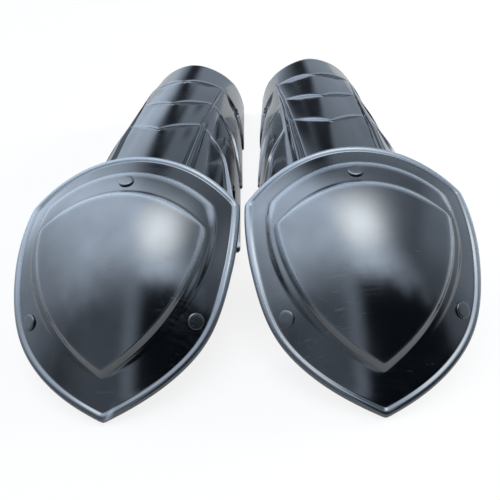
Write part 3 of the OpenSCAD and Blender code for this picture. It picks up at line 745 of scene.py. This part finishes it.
def slab(name, outer, inner, side, roundness, wearAndHighlight=None, flat=None):    # closed sheet with rounded edges
    rows, columns = outer.shape[:2]
    faces = gridFaces(rows, columns) + gridFaces(rows, columns, start=rows * columns, flip=True)
    loop = [(0, j) for j in range(columns)] + [(i, columns - 1) for i in range(1, rows)]
    loop += [(rows - 1, j) for j in range(columns - 2, -1, -1)] + [(i, 0) for i in range(rows - 2, 0, -1)]
    i, j = np.array(loop).T
    o, n = outer[i, j], inner[i, j]
    away = o - outer[np.clip(i, 1, rows - 2), np.clip(j, 1, columns - 2)]
    away /= np.linalg.norm(away, axis=1)[:, None] + 1e-9
    half = np.linalg.norm(o - n, axis=1)[:, None] / 2
    points, ids = [outer.reshape(-1, 3), inner.reshape(-1, 3)], [i * columns + j]
    for t in (0.25, 0.5, 0.75):
        a = t * math.pi
        ids.append(sum(len(p) for p in points) + np.arange(len(loop)))
        points.append((o + n) / 2 + (o - n) / 2 * math.cos(a) + away * half * roundness * math.sin(a))
    ids.append(rows * columns + ids[0])
    for a, b in zip(ids[:-1], ids[1:]):
        faces += zip(np.roll(a, -1), a, b, np.roll(b, -1))
    everything = np.concatenate(points)
    edge = None
    if wearAndHighlight is not None:
        edge = np.zeros(len(everything))
        edge[:rows * columns] = wearAndHighlight.ravel()
        # the rounded edges are painted pale all round: part wear, part painted highlight
        edge[2 * rows * columns:] = 1
    uv = None
    if flat is not None:
        uv = np.concatenate([flat.reshape(-1, 2)] * 2 + [flat[i, j]] * 3)
    return makeMesh(name, everything, faces, side, edge=edge, uv=uv)


def cutOut(piece, cutters):
    for cutter in cutters:
        tool = piece.modifiers.new("cut", "BOOLEAN")
        tool.operation = "DIFFERENCE"
        tool.solver = "EXACT"
        tool.object = cutter
    applied(piece)
    for cutter in cutters:
        bpy.data.objects.remove(cutter)


def slotCutter(y, z, length, height, side):    # a long hole right across the shell
    count, far = 24, 120
    around = []
    for k in range(count):
        c, s = math.cos(2 * math.pi * k / count), math.sin(2 * math.pi * k / count)
        around.append((y + (length - height) / 2 * (1 if c > 0 else -1) + height / 2 * c, z + height / 2 * s))
    points = [(x, py, pz) for x in (-far, far) for py, pz in around]
    faces = [tuple(range(count)), tuple(reversed(range(count, 2 * count)))]
    faces += [(k, k + count, (k + 1) % count + count, (k + 1) % count) for k in range(count)]
    return makeMesh("cutter", points, faces, side)


strapPlan = {"calf": (205, 34), "ankle": (376, 37)}    # place and height of the slots
webbingSize = {"width": 20, "thick": 1.4, "slotRoom": 0.8, "slotHeight": 5.4, "bar": 1.8, "low": 7, "turn": 7,
               "slope": 8, "drop": 8, "doubled": 17}

for guard, side in guards.items():
    outer, inner, wearAndHighlight = shellGrid()
    piece = slab(guard + "ShinShell", outer, inner, side, 0.55, wearAndHighlight=wearAndHighlight)
    slot = (webbingSize["width"] + 2 * webbingSize["slotRoom"], webbingSize["slotHeight"])
    cutters = [slotCutter(y, z, *slot, side) for y, z in strapPlan.values()]
    tabY, tabZ, hole = shell["eyelet"]
    cutOut(piece, cutters + [slotCutter(tabY, tabZ, hole, hole, side)])
    smoothed(piece.data, 50)
    dressed(piece, guard + "_guard", "shell", shellPlastic, guard + "_greave")
print("shin shells made")

rivets = {
    "head": 10.5, "headHeight": 1.3, "tail": 9, "tailHeight": 1.8,
    "pivot": {"shank": 5, "grip": 13.5, "base": kneePlate["terraceLift"], "lift": 2.35, "places": [(0, 131.3)]},
    "side": {"shank": 4, "grip": 6.5, "base": 0, "lift": 0.1, "places": [(-53.3, 48.5), (53.3, 48.5)]}}
# the head's profile and the tail's: height and radius, as parts of the whole
headProfile = [(0.0, 0.94), (0.08, 0.985), (0.16, 1.0), (0.6, 1.0), (0.74, 0.975), (0.86, 0.92), (0.93, 0.84),
               (0.98, 0.6), (1.0, 0.2)]
tailProfile = [(0.0, 0.92), (0.12, 1.0), (0.25, 0.98), (0.55, 0.86), (0.85, 0.6), (1.0, 0.25)]


def rivetSizes(kind):    # the tree's named inputs, in metres
    sizes = {"Head diameter": rivets["head"], "Head height": rivets["headHeight"], "Grip": rivets[kind]["grip"],
             "Shank diameter": rivets[kind]["shank"], "Tail diameter": rivets["tail"],
             "Tail height": rivets["tailHeight"]}
    return {size: value / 1000 for size, value in sizes.items()}


def rivetTree():
    g = Growth("rivet", rivetSizes("side"))
    grip, shank = g.size("Grip"), g.size("Shank diameter")
    rod = g.node("GeometryNodeMeshCylinder", {"Vertices": 40, "Radius": shank * 0.5, "Depth": grip},
                 {"fill_type": "NGON"})
    below = g.node("ShaderNodeCombineXYZ", {2: grip * -0.5})
    shape = g.node("GeometryNodeTransform", {"Geometry": rod, "Translation": below})
    for faces, profile, part in ((rod.other("Top"), headProfile, "Head"), (rod.other("Bottom"), tailProfile, "Tail")):
        lastHeight, lastRadius = 0.0, None
        for h, r in profile:
            widen = r / lastRadius if lastRadius else g.size(part + " diameter") * r / shank
            shape, faces = g.swell(shape, faces, g.size(part + " height") * (h - lastHeight), widen)
            lastHeight, lastRadius = h, r
    return g.finish(shape, rivetPlastic)


def spread(name, tree, spots, along, up, side, sizes):    # one shape on every spot, as a plain mesh
    mesh = bpy.data.meshes.new(name)
    at = placed(spots, side)
    mesh.from_pydata(at.tolist(), [], [])
    for key, ways in (("along", along), ("up", up)):
        way = placed(spots + ways, side) - at
        mesh.attributes.new(key, "FLOAT_VECTOR", "POINT").data.foreach_set("vector", way.astype(np.float32).ravel())
    made = added(name, mesh)
    grown = made.modifiers.new("grown", "NODES")
    grown.node_group = tree
    for item in tree.interface.items_tree:
        if item.name in sizes:
            grown[item.identifier] = sizes[item.name]
    applied(made)
    smoothed(made.data, 40)
    return made


rivetShape = rivetTree()
for guard, side in guards.items():
    for kind, body, node in (("pivot", "_guard", "_pivot_rivet"), ("side", "_knee", "_side_rivets")):
        k = rivets[kind]
        x, y = np.array(k["places"], float).T
        up = domeNormal(x, y)
        spots = domePoint(x, y, k["base"]) + up * (k["lift"] - k["base"])
        across = np.cross((0.0, 1.0, 0.0), up)
        made = spread(guard + kind.capitalize() + "Rivets", rivetShape, spots, across, up, side, rivetSizes(kind))
        dressed(made, guard + body, "rivet", rivetPlastic, guard + node)
print("rivets made")


def unit(v):
    return v / (np.linalg.norm(v, axis=-1, keepdims=True) + 1e-12)


def curved(corners, bend=4.0):    # even points along a path whose corners are rounded
    corners = np.asarray(corners, float)
    run = distances(corners)
    at = np.linspace(0, run[-1], int(run[-1] / 0.8) + 2)
    around = np.linspace(-bend, bend, 9)
    spans = np.minimum(1, np.minimum(at, run[-1] - at) / bend)[:, None] * around[None]
    return np.stack([np.interp(at[:, None] + spans, run, c).mean(1) for c in corners.T], 1)


def ribbon(name, centre, across, side):
    k = webbingSize
    up = unit(np.cross(np.gradient(centre, axis=0), across))
    where = np.linspace(-1, 1, 9)
    face = centre[:, None] + across[:, None] * where[None, :, None] * (k["width"] / 2 - 0.35)
    thin = (k["thick"] / 2 * (1 - 0.22 * where ** 8))[None, :, None] * up[:, None]
    flat = np.stack(np.broadcast_arrays(distances(centre)[:, None], where[None] * k["width"] / 2), -1) / 1000
    return slab(name, face + thin, face - thin, side, 0.9, flat=flat), up


stitchSize = {"Length": 0.0022, "Thread": 0.0007}


def stitchTree():    # a short thread, arched in the middle and sunk at its ends
    g = Growth("stitch", stitchSize)
    half, thick = g.size("Length") * 0.5, g.size("Thread")
    ends = [g.node("ShaderNodeCombineXYZ", {0: half * sign}) for sign in (-1.0, 1.0)]
    line = g.node("GeometryNodeCurvePrimitiveLine", {"Start": ends[0], "End": ends[1]})
    line = g.node("GeometryNodeResampleCurve", {"Curve": line, "Count": 5})
    at = g.node("GeometryNodeSplineParameter") * 2.0 - 1.0
    sink = g.node("ShaderNodeCombineXYZ", {2: at * at * thick * -0.7})
    line = g.node("GeometryNodeSetPosition", {"Geometry": line, "Offset": sink})
    ring = g.node("GeometryNodeCurvePrimitiveCircle", {"Resolution": 6, "Radius": thick * 0.5})
    shape = g.node("GeometryNodeCurveToMesh", {"Curve": line, "Profile Curve": ring, "Fill Caps": True})
    return g.finish(shape, thread)


stitchShape = stitchTree()
boxLines = (((0, -1), (1, -1)), ((0, 1), (1, 1)), ((0, -1), (0, 1)), ((1, -1), (1, 1)), ((0, -1), (1, 1)),
            ((0, 1), (1, -1)))


def boxStitch(centre, up, first, last, lift):    # a sewn box with a cross, between two places on a strap
    spots, ways, ups = [], [], []
    across, half = np.array([0.0, 1.0, 0.0]), webbingSize["width"] / 2 - 3
    length = distances(centre[first:last + 1])[-1]
    for (s0, a0), (s1, a1) in boxLines:
        count = max(2, round(math.hypot((s1 - s0) * length, (a1 - a0) * half) / 3))
        for c in range(count):
            f = (c + 0.5) / count
            i = first + (last - first) * (s0 + (s1 - s0) * f)
            lower = min(int(i), last - 1)
            ahead = centre[lower + 1] - centre[lower]
            spots.append(centre[lower] + ahead * (i - lower) + across * (a0 + (a1 - a0) * f) * half + up[lower] * lift)
            ways.append(unit(ahead) * (s1 - s0) * length + across * (a1 - a0) * half)
            ups.append(up[lower] * (1 if lift > 0 else -1))
    return np.array(spots), unit(np.array(ways)), np.array(ups)


def barPlace(y, z):    # a bar runs along the guard inside the wall, across its slot
    wallAt = sideCentre[0] + math.sqrt((shell["side"] + innerOffset(y)) ** 2 - (z - sideCentre[1]) ** 2)
    return wallAt + shell["wall"] / 2 + 0.2


def shellStrap(name, y, z, side):    # the webbing turns round a bar at each slot and is sewn back on itself
    k = webbingSize
    bar = barPlace(y, z)
    turn = bar - k["bar"] / 2 - 0.1 - k["thick"] - k["turn"]
    layer = k["thick"] / 2 + 0.03
    loop = k["bar"] / 2 + 0.12 + k["thick"] / 2
    path = curved([(0, k["low"]), (turn - k["slope"], k["low"]), (turn, z - k["drop"]), (turn + k["drop"] / 2, z),
                   (bar - 3.2, z)])
    up = unit(np.gradient(path, axis=0))[:, ::-1] * (-1, 1)
    run = distances(path)
    shift = up * (layer * smoothStep((run - run[-1] + k["doubled"] + 6) / 6))[:, None]
    angles = np.radians(np.linspace(205, 515, 22))
    around = np.stack([bar + loop * np.cos(angles), z + loop * np.sin(angles)], 1)
    back = (path + shift)[run > run[-1] - k["doubled"]][::-1]
    half = np.concatenate([path - shift, around, back])
    whole = np.concatenate([half[::-1] * (-1, 1), half[1:]])

    def onGuard(flat):    # from the strap's own plane to the guard's frame
        return np.stack([flat[:, 0], np.full(len(flat), y), flat[:, 1]], 1)

    strap, _ = ribbon(name, onGuard(whole), np.tile((0.0, 1.0, 0.0), (len(whole), 1)), side)
    near = np.nonzero((run > run[-1] - k["doubled"] + 1.5) & (run < run[-1] - 1.5))[0]
    stitches = []
    for m in (-1, 1):
        normal = np.stack([m * up[:, 0], 0 * up[:, 0], up[:, 1]], 1)
        for lift in (k["thick"] + 0.12, -k["thick"] - 0.12):
            stitches.append(boxStitch(onGuard(path * (m, 1)), normal, near[0], near[-1], lift))
    spots, ways, ups = (np.concatenate(parts) for parts in zip(*stitches))
    return strap, spread(name + "Stitches", stitchShape, spots, ways, ups, side, stitchSize)


kneeStrapPlan = {"low": 12.0, "flat": 25, "under": 0.9, "inside": 9.5, "outside": 10, "turnFrom": 22, "turnTo": 19.5}


def kneeStrap(name, side):    # its ends lie flat under the side rivets
    k, plan = webbingSize, kneeStrapPlan
    x0, y0 = rivets["side"]["places"][1]
    roll = math.asin(x0 / domeRadius(y0, 0))
    pitch = math.asin((dome["middle"] - y0) / dome["length"])
    at = domePoint(x0, y0, 0) - domeNormal(x0, y0) * (kneePlate["wall"] + plan["under"] + k["thick"] / 2)
    out = np.array([math.cos(roll), 0, -math.sin(roll)])
    tilted = np.array([math.sin(pitch) * math.sin(roll), math.cos(pitch), math.sin(pitch) * math.cos(roll)])
    half = curved([(0, y0, plan["low"]), (plan["flat"], y0, plan["low"]), at - out * plan["inside"],
                   at + out * plan["outside"]], bend=3.0)
    run = distances(half)
    turned = smoothStep((run - plan["turnFrom"]) / (run[-1] - plan["turnTo"] - plan["turnFrom"]))[:, None]
    across = unit((1 - turned) * np.array([0, 1.0, 0]) + turned * tilted)
    centre = np.concatenate([half[::-1] * (-1, 1, 1), half[1:]])
    sides = np.concatenate([across[::-1] * (-1, 1, 1), across[1:]])
    strap, up = ribbon(name, centre, sides, side)
    spots, ways, ups = [], [], []
    for end in (3, len(centre) - 4):    # a bar of zigzag stitches across each end
        for c in range(-5, 6):
            for face in (-1, 1):
                spots.append(centre[end] + sides[end] * c * 1.6 + up[end] * face * (k["thick"] / 2 + 0.1))
                ways.append(unit(centre[end + 1] - centre[end] + sides[end] * 0.5 * (1 if c % 2 else -1)))
                ups.append(up[end] * face)
    spots, ways, ups = (np.array(values) for values in (spots, ways, ups))
    return strap, spread(name + "Stitches", stitchShape, spots, ways, ups, side, stitchSize)


for guard, side in guards.items():
    made = []
    for name, (y, z) in strapPlan.items():
        made.append((shellStrap(guard + name.capitalize() + "Strap", y, z, side), "_guard", name))
    made.append((kneeStrap(guard + "KneeStrap", side), "_knee", "knee"))
    for (strap, stitches), body, name in made:
        dressed(strap, guard + body, "webbing", webbing, guard + "_" + name + "_strap")
        dressed(stitches, guard + body, "webbing", thread)
print("straps made")

slider = {"edge": 0.0007, "crisp": 35}
fittings = {"pivot_spacer": nylon, "pivot_washer": steel, "side_washers": steel, "calf_bars": steel,
            "ankle_bars": steel}


def softened(node, name):    # a copy of a CAD node with rounded edges
    made = added(name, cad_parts[node].data.copy())
    form = bmesh.new()
    form.from_mesh(made.data)
    bmesh.ops.remove_doubles(form, verts=form.verts, dist=1e-5)
    bmesh.ops.dissolve_limit(form, angle_limit=math.radians(1), verts=form.verts, edges=form.edges)
    form.to_mesh(made.data)
    form.free()
    bevel = made.modifiers.new("edges", "BEVEL")
    bevel.width = slider["edge"]
    bevel.segments = 3
    bevel.limit_method = "ANGLE"
    made.modifiers.new("triangles", "TRIANGULATE").quad_method = "BEAUTY"
    applied(made)
    smoothed(made.data, slider["crisp"])
    return made


for guard in guards:
    for name in ("knee", "calf", "ankle"):
        node = guard + "_" + name + "_slider"
        dressed(softened(node, guard + name.capitalize() + "Slider"), node, "slider", sliderPlastic, node)
    for node, material in fittings.items():
        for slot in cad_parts[guard + "_" + node].material_slots:
            slot.material = material
print("sliders, bars and washers made")

padLook = {"thick": 6.0, "inset": 7.6, "gap": 0.2, "channel": 24, "groove": 2.4, "border": 5.0, "half": 26.6,
           "from": 242.4, "to": 429.6, "fill": 0.9}


def quilted(run, away):    # depth of the channels and of the border, sewn at its distance from the pad's edge
    k = padLook
    channels = np.abs((run / k["channel"] + 0.5) % 1 - 0.5) * k["channel"]
    deep = k["groove"] * np.exp(-(channels / 1.9) ** 2) * smoothStep((away - k["border"] + 1) / 2)
    border = k["groove"] * np.exp(-((away - k["border"]) / 1.5) ** 2)
    crown = 0.35 * np.sin(math.pi * np.clip(channels * 2 / k["channel"], 0, 1)) * smoothStep((away - k["border"]) / 6)
    return np.maximum(deep, border) - crown + 0.5 * (away < k["border"])


def shinPad(name, side):
    k = padLook
    inY, inX = np.arange(0, 9, 0.7), np.arange(0, 9, 0.8)
    ys = np.unique(np.concatenate([np.linspace(k["from"], k["to"], 126), k["from"] + inY, k["to"] - inY]))
    xs = np.concatenate([np.linspace(-k["half"], k["half"], 45), k["half"] - inX, inX - k["half"]])
    xs = np.unique(np.round(xs, 4))
    phi = np.linspace(0.5, math.pi / 2, 260)
    grid = []
    for depth in (0, k["thick"]):
        rows = []
        for y in ys:
            section = shellPoint(np.full(len(phi), y), phi, taperAt(y) - (shell["wall"] + k["gap"] + depth))
            rows.append(np.stack([xs, 0 * xs + y, np.interp(-np.abs(xs), -section[:, 0], section[:, 2])], 1))
        grid.append(np.array(rows))
    away = np.minimum(np.minimum(ys - ys[0], ys[-1] - ys)[:, None], (k["half"] - np.abs(xs))[None])
    grid[1][..., 2] += quilted((ys - ys[0])[:, None] + 0 * xs[None], away)
    return slab(name, grid[0], grid[1], side, 0.55)


def kneePad(name, side):
    panel = shieldDiscs(kneePlate["panel"])
    angle = np.linspace(-math.pi / 2, 1.5 * math.pi, 169)[:-1]
    ux, uy = np.cos(angle), np.sin(angle)
    ox, oy = kneePlate["middle"]
    full = reach(panel, ux, uy, padLook["inset"], 0.8)
    tops, lows, ends = [], [], []
    for f in np.unique(np.concatenate([np.linspace(0.02, 0.86, 40), np.linspace(0.86, 1, 18)])):
        x, y = ox + f * full * ux, oy + f * full * uy
        away = full * (1 - f)
        lift = panelHeight(y) - kneePlate["wall"] - padLook["gap"]
        tops.append(domePoint(x, y, lift - 0.4 * np.exp(-(away / 2) ** 2)))
        lows.append(domePoint(x, y, lift - padLook["thick"] + quilted(np.abs(y - oy), away)))
    for a in (0.25, 0.5, 0.75):    # the rounded edge
        p = (tops[-1] + lows[-1]) / 2 + (tops[-1] - lows[-1]) / 2 * math.cos(a * math.pi)
        out = full + 2.4 * math.sin(a * math.pi)
        p[:, 0], p[:, 1] = ox + out * ux, oy + out * uy
        ends.append(p)
    return ringMesh(name, tops + ends + lows[::-1], [tops[0].mean(0)[None], lows[0].mean(0)[None]], side)


for guard, side in guards.items():
    for name, make, body in (("shin", shinPad, "_guard"), ("knee", kneePad, "_knee")):
        pad = make(guard + name.capitalize() + "Pad", side)
        dressed(pad, guard + body, "foam", foam, guard + "_" + name + "_pad")
print("pads made")
